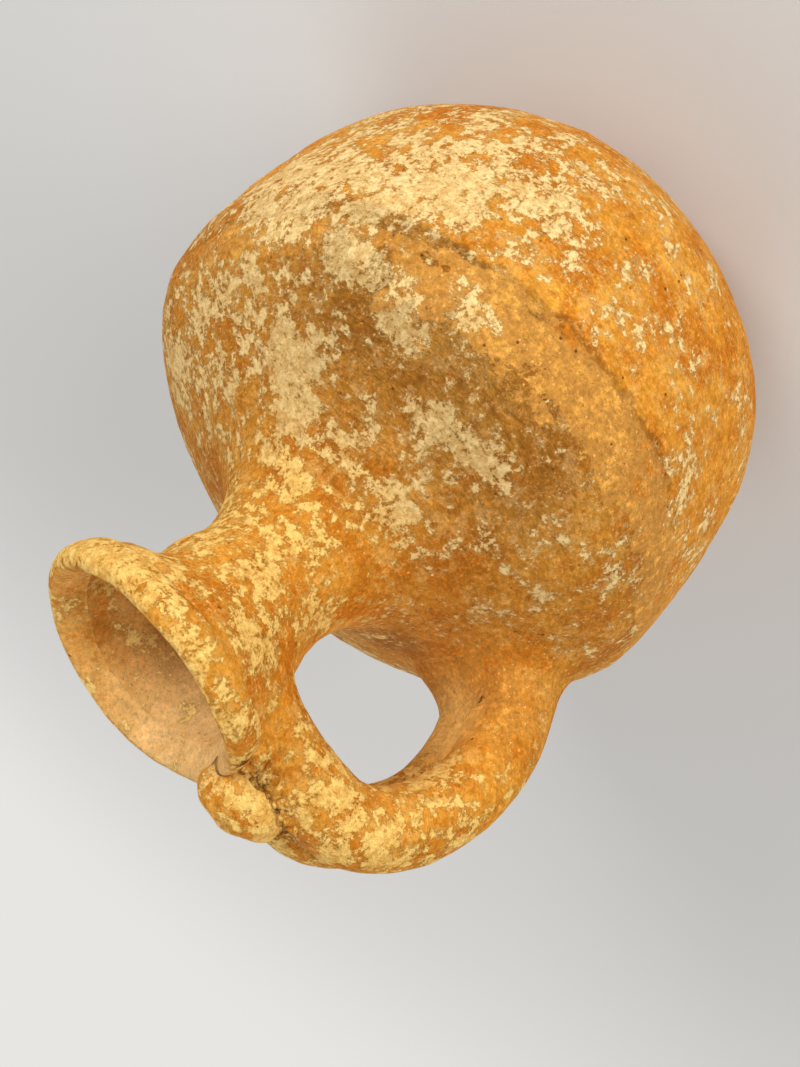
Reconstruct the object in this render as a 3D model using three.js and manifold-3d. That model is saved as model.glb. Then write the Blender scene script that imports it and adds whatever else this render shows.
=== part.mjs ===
// A small hand-made terracotta jug: a round body with a soft ridge, a leaning
// flared neck with a rolled rim, and a double-coil handle with a clay pellet.
// Millimetres, +Z up, origin at the centre of the flat base, handle towards -X.
import * as THREE from 'three';
import Module from 'manifold-3d';
import { mergeVertices } from 'three/addons/utils/BufferGeometryUtils.js';

const wasm = await Module();
wasm.setup();

// Body sizes: each rise is measured up from the level before it
const baseRadius = 29;
const footRadius = 42;
const footRise = 5.6;
const heelRadius = 52;
const heelRise = 9.4;
const hipRadius = 61.2;
const hipRise = 19;
const bellyRadius = 62.6;
const bellyRise = 20;
const ridgeRadius = 60;
const ridgeRise = 21;
const shoulderRadius = 54.6;
const shoulderRise = 11;
const slopeRadius = 40.5;
const slopeRise = 8.6;
const wall = 4.5;
const floorThickness = 6;
const ovalShare = 0.026;

const footHeight = footRise;
const heelHeight = footHeight + heelRise;
const hipHeight = heelHeight + hipRise;
const bellyHeight = hipHeight + bellyRise;
const ridgeHeight = bellyHeight + ridgeRise;
const shoulderHeight = ridgeHeight + shoulderRise;
const slopeHeight = shoulderHeight + slopeRise;

// Neck and rim sizes, rises as above
const rootRadius = 22;
const rootRise = 10.9;
const throatRadius = 15.2;
const throatRise = 13.5;
const flareRadius = 18.4;
const flareRise = 14;
const grooveRadius = 23.6;
const grooveRise = 12;
const neckWall = 4;
const lipRadius = 26;
const lipRise = 7;
const lipThickness = 4.6;
const neckLeanShare = 0.06;
const mouthDipShare = -0.124;
const mouthRollShare = -0.055;

const rootHeight = slopeHeight + rootRise;
const throatHeight = rootHeight + throatRise;
const flareHeight = throatHeight + flareRise;
const grooveHeight = flareHeight + grooveRise;
const lipHeight = grooveHeight + lipRise;
const neckLean = neckLeanShare * (lipHeight - rootHeight);

// Handle sizes: the upper half is placed from the lip, the lower from the body
const strandRadius = 7.8;
const strandOffset = 7;
const handleStartInset = 16;
const handleStartDrop = 12;
const handleBendRun = 14;
const handleBendDrop = 9;
const handleElbowInset = 10;
const handleElbowDrop = 17.5;
const handleOuterInset = 4.5;
const handleOuterDrop = 31;
const handleLowerInset = 4.4;
const handleLowerRise = 29;
const handleEndInset = 6.6;
const handleEndDrop = 2;
const lutingSpread = 4.2;
const lutingEdge = 0.9;
const rootLutingLength = 20;
const neckLutingLength = 22;

// Pellet sizes: its centre stands just outside the lip, above the coils' tops
const pelletLength = 16.6;
const pelletWidth = 12.8;
const pelletRun = 0.4;
const pelletStand = 1.8;
const pelletTilt = THREE.MathUtils.degToRad(21);
const pelletBlunt = 0.16;
const pelletLuting = 1.7;
const pelletLutingDrop = 1.1;

const pelletReach = lipRadius + pelletRun;
const pelletHeight = lipHeight - handleBendDrop + strandRadius + pelletStand;

// Clearance where a curved piece is cut to seat on its neighbours
const seatGap = 0.3;

// How finely the round shapes are divided
const turns = 42;
const spanSteps = 3;
const strandSides = 14;
const strandSteps = 22;
const pelletSides = 18;

const terracotta = (color, roughness) =>
  new THREE.MeshStandardMaterial({ color, roughness, metalness: 0 });

// Curve points between control points, with the same count in each span
function splineSpans(points) {
  const curve = new THREE.SplineCurve(points);
  return curve.getPoints((points.length - 1) * spanSteps);
}

// The same outline moved sideways by a distance, to its left for a positive one
function offsetOutline(points, distance) {
  return points.map((point, i) => {
    const before = points[Math.max(0, i - 1)];
    const after = points[Math.min(points.length - 1, i + 1)];
    const along = new THREE.Vector2().subVectors(after, before).normalize();
    return new THREE.Vector2(point.x - along.y * distance, point.y + along.x * distance);
  });
}

// An inner outline whose ends stay level with the ends of the outer one
function innerOutline(points, thickness) {
  const inner = offsetOutline(points, thickness);
  const last = points.length - 1;
  for (const [end, near] of [[0, 1], [last, last - 1]]) {
    const along = new THREE.Vector2().subVectors(points[end], points[near]).normalize();
    const sideways = thickness / Math.abs(along.y);
    inner[end].set(points[end].x - sideways, points[end].y);
  }
  return inner;
}

const lowerOutline = () => splineSpans([
  new THREE.Vector2(baseRadius, 0),
  new THREE.Vector2(footRadius, footHeight),
  new THREE.Vector2(heelRadius, heelHeight),
  new THREE.Vector2(hipRadius, hipHeight),
  new THREE.Vector2(bellyRadius, bellyHeight),
  new THREE.Vector2(ridgeRadius, ridgeHeight),
]);

const upperPoints = [
  new THREE.Vector2(ridgeRadius, ridgeHeight),
  new THREE.Vector2(shoulderRadius, shoulderHeight),
  new THREE.Vector2(slopeRadius, slopeHeight),
  new THREE.Vector2(rootRadius, rootHeight),
  new THREE.Vector2(throatRadius, throatHeight),
  new THREE.Vector2(flareRadius, flareHeight),
  new THREE.Vector2(grooveRadius, grooveHeight),
];
const shoulderSpans = 3;

const upperOutline = () => splineSpans(upperPoints);
const shoulderOutline = () => upperOutline().slice(0, shoulderSpans * spanSteps + 1);
const neckOutline = () => upperOutline().slice(shoulderSpans * spanSteps);

// The rolled band from the groove, round the lip's top, to the lip's inner edge
function bandOutline() {
  const bandHeight = lipHeight - grooveHeight;
  const bulge = lipRadius - grooveRadius;
  const round = lipThickness / 2;
  const points = [];
  const steps = spanSteps + 1;
  for (let i = 0; i <= steps; i += 1) {
    const rise = (bandHeight - round) * (i / steps);
    const swell = Math.sin((Math.PI / 2) * Math.sqrt(i / steps));
    points.push(new THREE.Vector2(grooveRadius + bulge * swell, grooveHeight + rise));
  }
  const centreHeight = lipHeight - round;
  for (let i = 1; i <= steps; i += 1) {
    const angle = Math.PI * (i / steps);
    const reach = lipRadius - round + round * Math.cos(angle);
    points.push(new THREE.Vector2(reach, centreHeight + round * Math.sin(angle)));
  }
  return points;
}

// The body is a little oval, and the neck leans from the handle as it rises
function shapeByHand(geometry) {
  const place = geometry.attributes.position;
  for (let i = 0; i < place.count; i += 1) {
    const x = place.getX(i);
    const y = place.getY(i);
    const z = place.getZ(i);
    const body = THREE.MathUtils.clamp((rootHeight - z) / (rootHeight - ridgeHeight), 0, 1);
    const rise = Math.max(0, (z - rootHeight) / (lipHeight - rootHeight)) ** 2;
    const dip = (mouthDipShare * x + mouthRollShare * y) * rise;
    place.setXYZ(i, x * (1 + ovalShare * body) + neckLean * rise, y * (1 - ovalShare * body), z + dip);
  }
  return geometry;
}

function turned(outline) {
  const geometry = new THREE.LatheGeometry(outline, turns);
  geometry.rotateX(Math.PI / 2);
  return shapeByHand(geometry);
}

const closedRing = (outer, inner) => turned([...outer, ...inner.slice().reverse(), outer[0]]);

function lowerBody() {
  const outer = lowerOutline();
  const inner = innerOutline(outer, wall).filter((point) => point.y > floorThickness);
  const foot = new THREE.Vector2(inner[0].x - wall, floorThickness);
  const floor = [foot, new THREE.Vector2(0, floorThickness)];
  return turned([new THREE.Vector2(0, 0), ...outer, ...inner.reverse(), ...floor]);
}

const shoulder = () => closedRing(shoulderOutline(), innerOutline(shoulderOutline(), wall));

// The neck's joints: its foot meets the shoulder's top face exactly
function neck() {
  const outer = neckOutline();
  const inner = innerOutline(outer, neckWall);
  const shoulderInner = innerOutline(shoulderOutline(), wall);
  inner[0].copy(shoulderInner[shoulderInner.length - 1]);
  inner[inner.length - 1].x = lipRadius - lipThickness - (lipHeight - grooveHeight) / 2;
  return closedRing(outer, inner);
}

function rimBand() {
  const outer = bandOutline();
  const seat = seatGap / 2;
  const innerRadius = lipRadius - lipThickness - (lipHeight - grooveHeight) / 2;
  outer[0].y += seat;
  return closedRing(outer, [new THREE.Vector2(innerRadius, grooveHeight + seat)]);
}

// The vessel's filled outside, grown by a clearance, that other pieces are cut by
function vesselEnvelope(clearance) {
  const top = bandOutline().slice(0, -1);
  const outline = [...lowerOutline(), ...upperOutline().slice(1), ...top.slice(1)];
  const grown = offsetOutline(outline, -clearance);
  const roof = new THREE.Vector2(0, grown[grown.length - 1].y);
  return turned([new THREE.Vector2(0, -clearance), ...grown, roof]);
}

// A point on the handle's line, by its reach from the jug's axis and its height
const onHandle = (reach, height) => new THREE.Vector3(-reach, 0, height);

const handleCurve = new THREE.CatmullRomCurve3([
  onHandle(lipRadius - handleStartInset, lipHeight - handleStartDrop),
  onHandle(lipRadius + handleBendRun, lipHeight - handleBendDrop),
  onHandle(ridgeRadius - handleElbowInset, lipHeight - handleElbowDrop),
  onHandle(ridgeRadius - handleOuterInset, lipHeight - handleOuterDrop),
  onHandle(ridgeRadius - handleLowerInset, ridgeHeight + handleLowerRise),
  onHandle(shoulderRadius - handleEndInset, shoulderHeight - handleEndDrop),
], false, 'centripetal');

// A closed skin over a row of rings that all have the same number of points
function loft(rings) {
  const sides = rings[0].length;
  const points = rings.flat();
  const faces = [];
  for (let ring = 0; ring < rings.length - 1; ring += 1) {
    for (let i = 0; i < sides; i += 1) {
      const a = ring * sides + i;
      const b = ring * sides + ((i + 1) % sides);
      faces.push(a, b, b + sides, a, b + sides, a + sides);
    }
  }
  const ends = [[0, 1], [rings.length - 1, -1]];
  for (const [ring, turn] of ends) {
    const middle = new THREE.Vector3();
    rings[ring].forEach((point) => middle.addScaledVector(point, 1 / sides));
    const hub = points.push(middle) - 1;
    for (let i = 0; i < sides; i += 1) {
      const a = ring * sides + i;
      const b = ring * sides + ((i + 1) % sides);
      faces.push(hub, turn > 0 ? b : a, turn > 0 ? a : b);
    }
  }
  return new THREE.BufferGeometry().setFromPoints(points).setIndex(faces);
}

// One ring square to the handle's line; the shape gives width and height offsets
function handleRing(share, shape) {
  const centre = handleCurve.getPointAt(share);
  const along = handleCurve.getTangentAt(share);
  const outward = new THREE.Vector3(-along.z, 0, along.x).negate();
  return shape.map(([width, height]) =>
    centre.clone().addScaledVector(outward, height).add(new THREE.Vector3(0, width, 0)));
}

// A coil of the handle; its side is -1 for the near one and 1 for the far one
function strand(side, clearance) {
  const radius = strandRadius + clearance;
  const rings = [];
  for (let step = 0; step <= strandSteps; step += 1) {
    const shape = [];
    for (let i = 0; i < strandSides; i += 1) {
      const angle = (2 * Math.PI * i) / strandSides;
      const width = Math.max(0, strandOffset + radius * Math.cos(angle));
      shape.push([side * width, -side * radius * Math.sin(angle)]);
    }
    rings.push(handleRing(step / strandSteps, shape));
  }
  return loft(rings);
}

// A collar of luting clay round both coils, widest where it meets the vessel
function collar(fromShare, toShare) {
  const rings = [];
  const steps = spanSteps + 1;
  for (let step = 0; step <= steps; step += 1) {
    const part = step / steps;
    const spread = lutingEdge + (lutingSpread - lutingEdge) * part ** 2;
    const halfWidth = strandOffset + strandRadius + spread;
    const halfHeight = strandRadius + spread;
    const shape = [];
    for (let i = 0; i < 2 * strandSides; i += 1) {
      const angle = (Math.PI * i) / strandSides;
      const pinch = Math.abs(Math.cos(angle)) ** (3 / 4) * Math.sign(Math.cos(angle));
      shape.push([halfWidth * pinch, -halfHeight * Math.sin(angle)]);
    }
    rings.push(handleRing(THREE.MathUtils.lerp(fromShare, toShare, part), shape));
  }
  return toShare > fromShare ? loft(rings) : loft(rings.reverse());
}

// An egg lying along the handle's top, blunt end outwards
function egg(growth, drop) {
  const geometry = new THREE.SphereGeometry(1, pelletSides, pelletSides / 2);
  geometry.rotateZ(Math.PI / 2);
  const place = geometry.attributes.position;
  for (let i = 0; i < place.count; i += 1) {
    const blunt = 1 - pelletBlunt * place.getX(i);
    place.setY(i, place.getY(i) * blunt);
    place.setZ(i, place.getZ(i) * blunt);
  }
  geometry.scale(pelletLength / 2 + growth, pelletWidth / 2 + growth, pelletWidth / 2 + growth);
  geometry.rotateY(-pelletTilt);
  geometry.translate(-pelletReach, 0, pelletHeight - drop);
  return geometry;
}

function toSolid(geometry) {
  const plain = geometry.clone();
  plain.deleteAttribute('normal');
  plain.deleteAttribute('uv');
  const merged = mergeVertices(plain);
  return new wasm.Manifold(new wasm.Mesh({
    numProp: 3,
    vertProperties: new Float32Array(merged.attributes.position.array),
    triVerts: new Uint32Array(merged.index.array),
  }));
}

function fromSolid(solid) {
  const mesh = solid.getMesh();
  const geometry = new THREE.BufferGeometry();
  geometry.setAttribute('position', new THREE.BufferAttribute(mesh.vertProperties, 3));
  geometry.setIndex(new THREE.BufferAttribute(mesh.triVerts, 1));
  return geometry;
}

// A cut can leave a crumb between the coils, so the largest body is the piece
function cutBy(solid, cutters) {
  const left = cutters.reduce((rest, cutter) => rest.subtract(cutter), solid);
  return left.decompose().reduce((best, body) => (body.volume() > best.volume() ? body : best));
}

// What every piece of the handle is cut by
const vessel = toSolid(vesselEnvelope(seatGap));
const strandRoom = [-1, 1].map((side) => toSolid(strand(side, seatGap)));
const handleLength = handleCurve.getLength();

const strandPiece = (side) => fromSolid(cutBy(toSolid(strand(side, 0)), [vessel]));
const pelletPiece = () => fromSolid(cutBy(toSolid(egg(0, 0)), [vessel, ...strandRoom]));

function pelletLutingPiece() {
  const bed = toSolid(egg(pelletLuting, pelletLutingDrop));
  return fromSolid(cutBy(bed, [vessel, ...strandRoom, toSolid(egg(seatGap, 0))]));
}

function neckLutingPiece() {
  const ring = toSolid(collar(neckLutingLength / handleLength, 0));
  const bedRoom = toSolid(egg(pelletLuting + seatGap, pelletLutingDrop));
  return fromSolid(cutBy(ring, [vessel, ...strandRoom, bedRoom]));
}

function rootLutingPiece() {
  const ring = toSolid(collar(1 - rootLutingLength / handleLength, 1));
  return fromSolid(cutBy(ring, [vessel, ...strandRoom]));
}

const pieces = [
  ['lower_body', lowerBody(), terracotta(0xb9762f, 0.9)],
  ['shoulder', shoulder(), terracotta(0xb07a3e, 0.92)],
  ['neck', neck(), terracotta(0xc58a45, 0.92)],
  ['rim_band', rimBand(), terracotta(0xcf9a55, 0.9)],
  ['handle_coil_near', strandPiece(-1), terracotta(0xcd9245, 0.9)],
  ['handle_coil_far', strandPiece(1), terracotta(0xc98c40, 0.9)],
  ['pellet', pelletPiece(), terracotta(0xd09c58, 0.92)],
  ['pellet_luting', pelletLutingPiece(), terracotta(0xb98545, 0.95)],
  ['neck_luting', neckLutingPiece(), terracotta(0xc08844, 0.93)],
  ['root_luting', rootLutingPiece(), terracotta(0xc79a60, 0.9)],
];

const jug = new THREE.Group();
for (const [name, geometry, material] of pieces) {
  const mesh = new THREE.Mesh(geometry, material);
  mesh.name = name;
  jug.add(mesh);
}

export default jug;
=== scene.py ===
import math

import bmesh
import bpy
from mathutils import Matrix, Vector, noise
from mathutils.bvhtree import BVHTree
from mathutils.geometry import interpolate_bezier


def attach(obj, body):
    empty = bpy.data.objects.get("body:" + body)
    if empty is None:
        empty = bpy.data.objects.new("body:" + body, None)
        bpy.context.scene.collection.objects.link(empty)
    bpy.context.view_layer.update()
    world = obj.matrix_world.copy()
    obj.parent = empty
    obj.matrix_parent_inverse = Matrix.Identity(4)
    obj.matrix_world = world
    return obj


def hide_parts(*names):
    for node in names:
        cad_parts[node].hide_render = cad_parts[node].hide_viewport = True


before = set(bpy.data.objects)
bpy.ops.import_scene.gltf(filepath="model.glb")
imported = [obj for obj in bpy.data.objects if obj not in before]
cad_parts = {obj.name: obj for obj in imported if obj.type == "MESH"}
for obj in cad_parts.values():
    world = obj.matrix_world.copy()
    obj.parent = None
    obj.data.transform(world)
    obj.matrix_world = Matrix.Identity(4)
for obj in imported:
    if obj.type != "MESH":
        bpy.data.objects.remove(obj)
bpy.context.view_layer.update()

# LOWER BODY
# The bowl of the jug, from its small flat base up to the soft ridge. It is built up
# from coils of sandy clay, wiped smooth by hand and fired orange, and pale lime has
# crusted on it in the ground. The shoulder is luted to it all round the ridge.
wall_levels = {
    "base": (0.0290, 0.0000),
    "foot": (0.0420, 0.0056),
    "heel": (0.0520, 0.0150),
    "hip": (0.0612, 0.0340),
    "belly": (0.0626, 0.0540),
    "ridge": (0.0600, 0.0750),
    "shoulder": (0.0546, 0.0860),
    "slope": (0.0405, 0.0946),
    "root": (0.0220, 0.1055),
    "throat": (0.0152, 0.1190),
    "flare": (0.0184, 0.1330),
    "groove": (0.0236, 0.1450),
}
lip_height = 0.152
body_wall = 0.0045
neck_wall = 0.0040
mouth_wall = 0.0057
floor_thickness = 0.006
wall_step = 0.0011
ridge_softening = 3
ridge_softened = 5
inner_skip = 4
body_turns = 360
oval_share = 0.026
neck_lean = 0.0028
mouth_dip = -0.124
mouth_roll = -0.055
# Places where the soft wall was pressed by hand: the place, the reach and the push
hand_presses = [
    ((0.057, 0.012, 0.082), 0.020, (0.0017, 0.0004, 0.0009)),
    ((0.058, -0.027, 0.048), 0.020, (-0.0013, 0.0007, 0.0)),
    ((0.015, -0.049, 0.016), 0.022, (0.0002, -0.0006, -0.0004)),
    ((-0.031, -0.048, 0.025), 0.024, (-0.0008, -0.0013, -0.0007)),
    ((-0.059, -0.016, 0.074), 0.018, (-0.0018, -0.0005, 0.0003)),
    ((-0.020, 0.012, 0.154), 0.013, (0.0005, -0.0006, -0.0019)),
    ((-0.024, -0.005, 0.150), 0.011, (0.0022, 0.0003, -0.0002)),
    ((-0.020, -0.006, 0.152), 0.012, (0.0011, -0.0004, -0.0008)),
]
neck_squeeze = 0.0028
neck_squeeze_height = 0.1345
neck_squeeze_reach = 0.005
band_swell = 0.0011
band_droop = 0.0035
band_swell_height = 0.1424
band_swell_reach = 0.0032
groove_cut = 0.0018
groove_cut_height = 0.1422
groove_cut_reach = 0.0034
inner_ease = 0.0012
inner_ease_height = 0.1450
inner_ease_reach = 0.0045
# The mouth's middle lies a little away from the handle. Where the outside begins and
# the inside ends, as distances from it, each with how soft the change is
mouth_middle_x = 0.002
outside_from, outside_softness = 0.0195, 0.0025
inside_to, inside_softness = 0.0208, 0.0015


def height_of(level):
    return wall_levels[level][1]


def drawn_curve(points, step):
    """A smooth curve through the points, in steps of about one length."""
    points = [Vector(point) for point in points]
    ends = [points[0], *points, points[-1]]
    curve = []
    for before, start, end, after in zip(ends, ends[1:], ends[2:], ends[3:]):
        leaving = start + (end - before) / 6
        arriving = end - (after - start) / 6
        count = max(2, round((end - start).length / step))
        curve += interpolate_bezier(start, leaving, arriving, end, count + 1)[:-1]
    return [Vector(point[:len(points[0])]) for point in curve] + [points[-1]]


def wall_at(height):
    """How thick the wall is, thinner in the neck and thicker under the rim."""
    if height <= height_of("root"):
        return body_wall
    if height <= height_of("flare"):
        share = (height - height_of("root")) / (height_of("flare") - height_of("root"))
        return body_wall + (neck_wall - body_wall) * share
    share = (height - height_of("flare")) / (height_of("groove") - height_of("flare"))
    return neck_wall + (mouth_wall - neck_wall) * share


def inside_of(line):
    """The same line moved into the jug by the wall's thickness."""
    inner = []
    for before, point, after in zip([line[0], *line], line, [*line[1:], line[-1]]):
        along = (after - before).normalized()
        inner.append(point + Vector((-along.y, along.x)) * wall_at(point.y))
    return inner


ridge_place = list(wall_levels).index("ridge")
wall_points = list(wall_levels.values())
bowl_line = drawn_curve(wall_points[: ridge_place + 1], wall_step)
upper_line = drawn_curve(wall_points[ridge_place:], wall_step)
wall_line = bowl_line + upper_line[1:]
ridge_point = len(bowl_line) - 1
for _ in range(ridge_softening):
    softened = list(wall_line)
    for place in range(ridge_point - ridge_softened, ridge_point + ridge_softened + 1):
        beside = wall_line[place - 1] + wall_line[place + 1]
        softened[place] = (wall_line[place] * 2 + beside) / 4
    wall_line = softened
inner_line = inside_of(wall_line)
root_point = next(
    place for place, point in enumerate(wall_line)
    if place >= ridge_point and point.y > height_of("root") - 1e-6
)


def turned(section, turns, closed=True):
    """A section of the wall, turned once round the jug's axis."""
    bm = bmesh.new()
    ring = [bm.verts.new((point[0], 0, point[1])) for point in section]
    pairs = list(zip(ring, ring[1:]))
    if closed:
        pairs.append((ring[-1], ring[0]))
    edges = [bm.edges.new(pair) for pair in pairs]
    bmesh.ops.spin(
        bm, geom=ring + edges, axis=(0, 0, 1), cent=(0, 0, 0),
        steps=turns, angle=math.tau, use_merge=True,
    )
    bmesh.ops.remove_doubles(bm, verts=bm.verts, dist=1e-6)
    bmesh.ops.dissolve_degenerate(bm, edges=bm.edges, dist=1e-7)
    bmesh.ops.recalc_face_normals(bm, faces=bm.faces)
    return bm


# How far apart the fingers' marks lie, and how deep they go
finger_marks = [(0.030, 0.0004), (0.011, 0.00035), (0.0036, 0.00012)]
# The marks start from one fixed number, so that they come out the same each time
finger_marks_start = 2
noise.seed_set(finger_marks_start)
# Below these heights marks and presses no longer move the clay up or down
finger_marks_from = 0.006
hand_presses_from = 0.008


def clamped(value):
    return min(1, max(0, value))


def press_unevenly(bm):
    """Moves every surface about a little, as pressing fingers do, and keeps the base flat."""
    for vert in bm.verts:
        place = vert.co.copy()
        grip = clamped(place.z / finger_marks_from)
        for span, depth in finger_marks:
            push = noise.noise_vector(place / span) * depth
            vert.co += Vector((push.x, push.y, push.z * grip))


def hump(value, middle, reach):
    """One at the middle, and next to nothing two reaches away."""
    return math.exp(-(((value - middle) / reach) ** 2))


def shape_by_hand(bm):
    """Gives turned work its oval body, leaning neck, dipping mouth and hand presses."""
    for vert in bm.verts:
        x, y, z = vert.co
        body = (height_of("root") - z) / (height_of("root") - height_of("ridge"))
        oval = oval_share * clamped(body)
        rise = max(0, (z - height_of("root")) / (lip_height - height_of("root"))) ** 2
        dip = (mouth_dip * x + mouth_roll * y) * rise
        place = Vector((x * (1 + oval) + neck_lean * rise, y * (1 - oval), z + dip))
        vert.co = place
        for centre, reach, push in hand_presses:
            moved = Vector(push) * hump((place - Vector(centre)).length, 0, reach)
            moved.z *= clamped(z / hand_presses_from)
            vert.co += moved
        # On the side away from the handle the band droops over a narrower neck
        across = Vector((place.x - mouth_middle_x, place.y))
        facing = max(0, across.x / max(across.length, 1e-6)) ** 2
        outer = clamped((across.length - outside_from) / outside_softness)
        swell = hump(place.z, band_swell_height, band_swell_reach) * facing
        squeeze = neck_squeeze * hump(place.z, neck_squeeze_height, neck_squeeze_reach)
        squeeze += groove_cut * hump(place.z, groove_cut_height, groove_cut_reach) * outer
        moved = across.normalized() * (band_swell * swell - squeeze * facing)
        vert.co += Vector((moved.x, moved.y, -band_droop * swell))
        # The funnel's inside eases into the band
        inside = clamped((inside_to - across.length) / inside_softness)
        eased = across.normalized() * inner_ease * hump(z, inner_ease_height, inner_ease_reach)
        eased *= inside
        vert.co += Vector((eased.x, eased.y, 0))


def made_piece(name, bm, material, slot, *nodes):
    """Puts a finished shape in the scene in place of its solids."""
    press_unevenly(bm)
    mesh = bpy.data.meshes.new(name)
    bm.to_mesh(mesh)
    bm.free()
    mesh.shade_smooth()
    mesh.set_sharp_from_angle(angle=math.radians(42))
    mesh.materials.append(material)
    piece = bpy.data.objects.new(name, mesh)
    bpy.context.scene.collection.objects.link(piece)
    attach(piece, "root")
    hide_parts(*nodes)
    return piece


def paint(red, green, blue):
    """A colour as the eye reads it, 0 to 255, turned into the renderer's light."""
    shares = [value / 255 for value in (red, green, blue)]
    light = [s / 12.92 if s <= 0.04045 else ((s + 0.055) / 1.055) ** 2.4 for s in shares]
    return (*light, 1)


def lay(tree, kind, inputs=None, **settings):
    """Adds a node, sets it up and joins what feeds it."""
    node = tree.nodes.new(kind)
    for key, value in settings.items():
        setattr(node, key, value)
    for key, value in (inputs or {}).items():
        if isinstance(value, bpy.types.NodeSocket):
            tree.links.new(value, node.inputs[key])
        else:
            node.inputs[key].default_value = value
    return node


def cloud(place, span, detail=4, roughness=0.55, distortion=0):
    """Soft noise whose blotches are about one span across, in millimetres."""
    inputs = {"Vector": place, "Scale": 1 / span, "Detail": detail}
    inputs.update({"Roughness": roughness, "Distortion": distortion})
    return lay(place.id_data, "ShaderNodeTexNoise", inputs).outputs["Fac"]


def tree_of(values):
    """The tree of nodes that the values come from."""
    return next(value.id_data for value in values if isinstance(value, bpy.types.NodeSocket))


def sums(operation, *values):
    """Arithmetic on numbers."""
    inputs = dict(enumerate(values))
    return lay(tree_of(values), "ShaderNodeMath", inputs, operation=operation).outputs[0]


def vectors(operation, *values):
    """Arithmetic on places, which gives a number for LENGTH and DISTANCE."""
    inputs = dict(enumerate(values))
    node = lay(tree_of(values), "ShaderNodeVectorMath", inputs, operation=operation)
    return node.outputs["Value" if operation in ("LENGTH", "DISTANCE") else "Vector"]


def scaled(place, factor):
    inputs = {0: place, 3: factor}
    return lay(place.id_data, "ShaderNodeVectorMath", inputs, operation="SCALE").outputs[0]


def taken_apart(place):
    """A place's x, y and z."""
    return lay(place.id_data, "ShaderNodeSeparateXYZ", {0: place}).outputs


def put_together(x=0, y=0, z=0):
    return lay(tree_of((x, y, z)), "ShaderNodeCombineXYZ", {0: x, 1: y, 2: z}).outputs[0]


def times(first, second):
    return sums("MULTIPLY", first, second)


def plus(first, second):
    return sums("ADD", first, second)


def share_plus(value, share, start):
    """A share of one value on top of another."""
    return sums("MULTIPLY_ADD", value, share, start)


def larger(first, second):
    return sums("MAXIMUM", first, second)


def rest_of(value):
    """What is left of one."""
    return sums("SUBTRACT", 1, value)


def above(value, low, high, most=1):
    """A mask that rises from nothing at low to its most at high."""
    inputs = {"Value": value, "From Min": low, "From Max": high, "To Max": most}
    kind = "ShaderNodeMapRange"
    return lay(value.id_data, kind, inputs, interpolation_type="SMOOTHSTEP").outputs[0]


def over(mask, under, coat, how="MIX"):
    """One colour laid over another where the mask says."""
    inputs = {0: mask, 6: under, 7: coat}
    tree = tree_of((mask, under, coat))
    return lay(tree, "ShaderNodeMix", inputs, data_type="RGBA", blend_type=how).outputs[2]


def new_group(name, takes, gives):
    """An empty node group with the sockets that it takes and gives."""
    group = bpy.data.node_groups.new(name, "ShaderNodeTree")
    kinds = {"c": "NodeSocketColor", "f": "NodeSocketFloat", "v": "NodeSocketVector"}
    for socket, kind in takes.items():
        group.interface.new_socket(socket, in_out="INPUT", socket_type=kinds[kind])
    for socket, kind in gives.items():
        group.interface.new_socket(socket, in_out="OUTPUT", socket_type=kinds[kind])
    return group, group.nodes.new("NodeGroupInput").outputs, group.nodes.new("NodeGroupOutput")


def all_over(value, low, high, least, most):
    """A value's range stretched from least to most."""
    inputs = {"Value": value, "From Min": low, "From Max": high, "To Min": least, "To Max": most}
    return lay(value.id_data, "ShaderNodeMapRange", inputs).outputs[0]


def near(place, centre, reach, most=1):
    """A mask that is at its most round a centre and gone at its reach."""
    return above(vectors("DISTANCE", place, centre), reach, reach * 0.3, most)


# Where the jug is browner, smoother and paler, sandy or limy, and where shade is painted in its
# creases and seams, all with ragged borders.
# From here on the finish is worked out in millimetres, from the jug's own middle
region_names = ("Brown", "Peach", "Bright", "Sandy", "CreviceShade", "Cover", "Chalky", "Seam")
jug_regions, part_in, part_out = new_group(
    "jug_regions", {"Place": "v"}, {name: "f" for name in region_names}
)
# Each place has its middle, how far it reaches and how strong it is
brown_places = [((26, -44, 86), 34, 0.64), ((-8, -45, 91), 24, 0.5)]
root_smear_centre = (-50, -3, 98)
bright_places = [((6, -59, 68), 13, 1.0), ((-20, -58, 62), 12, 0.5)]
# Painted shade: dark marks where shade falls in the creases by the rim band's end, round the ridge
# and at the handle's root, each with its middle, reach and depth
crevice_shades = [
    ((-18.2, -14.0, 152.2), 1.7, 1), ((-20.8, -13.2, 150.4), 1.5, 1),
    ((-23.6, -10.0, 150.2), 1.1, 0.9), ((-27.5, -8.0, 149.9), 0.9, 0.8),
    ((8, -57.6, 76.6), 1.5, 0.45), ((4, -58.4, 75.2), 1.2, 0.4),
    ((9.6, -57.4, 77.3), 1.2, 0.4), ((1, -50.4, 88), 0.9, 0.6),
    ((-46.5, -6.5, 102.2), 0.8, 0.8),
]
limy_places = [
    ((12, -10, 126), 30, 0.055), ((-40, -14, 138), 22, 0.02), ((-26, -4, 156), 9, 0.07),
    ((46, -38, 58), 40, 0.065), ((24, -54, 62), 20, 0.05), ((60, 0, 66), 40, 0.01),
    ((40, -45, 68), 14, 0.10), ((14, -10, 116), 26, 0.035), ((-34, 0, 142), 30, 0.08),
    ((-52, 0, 124), 26, 0.075), ((20, -14, 150), 18, 0.06), ((46, -8, 90), 26, 0.03),
    ((0, -60, 60), 14, 0.05), ((-36, -50, 70), 16, 0.05), ((18, 18, 140), 40, 0.03),
    ((-20, 50, 60), 40, 0.03), ((53, -22, 76), 22, 0.07), ((38, 6, 95), 22, 0.05),
]
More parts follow.
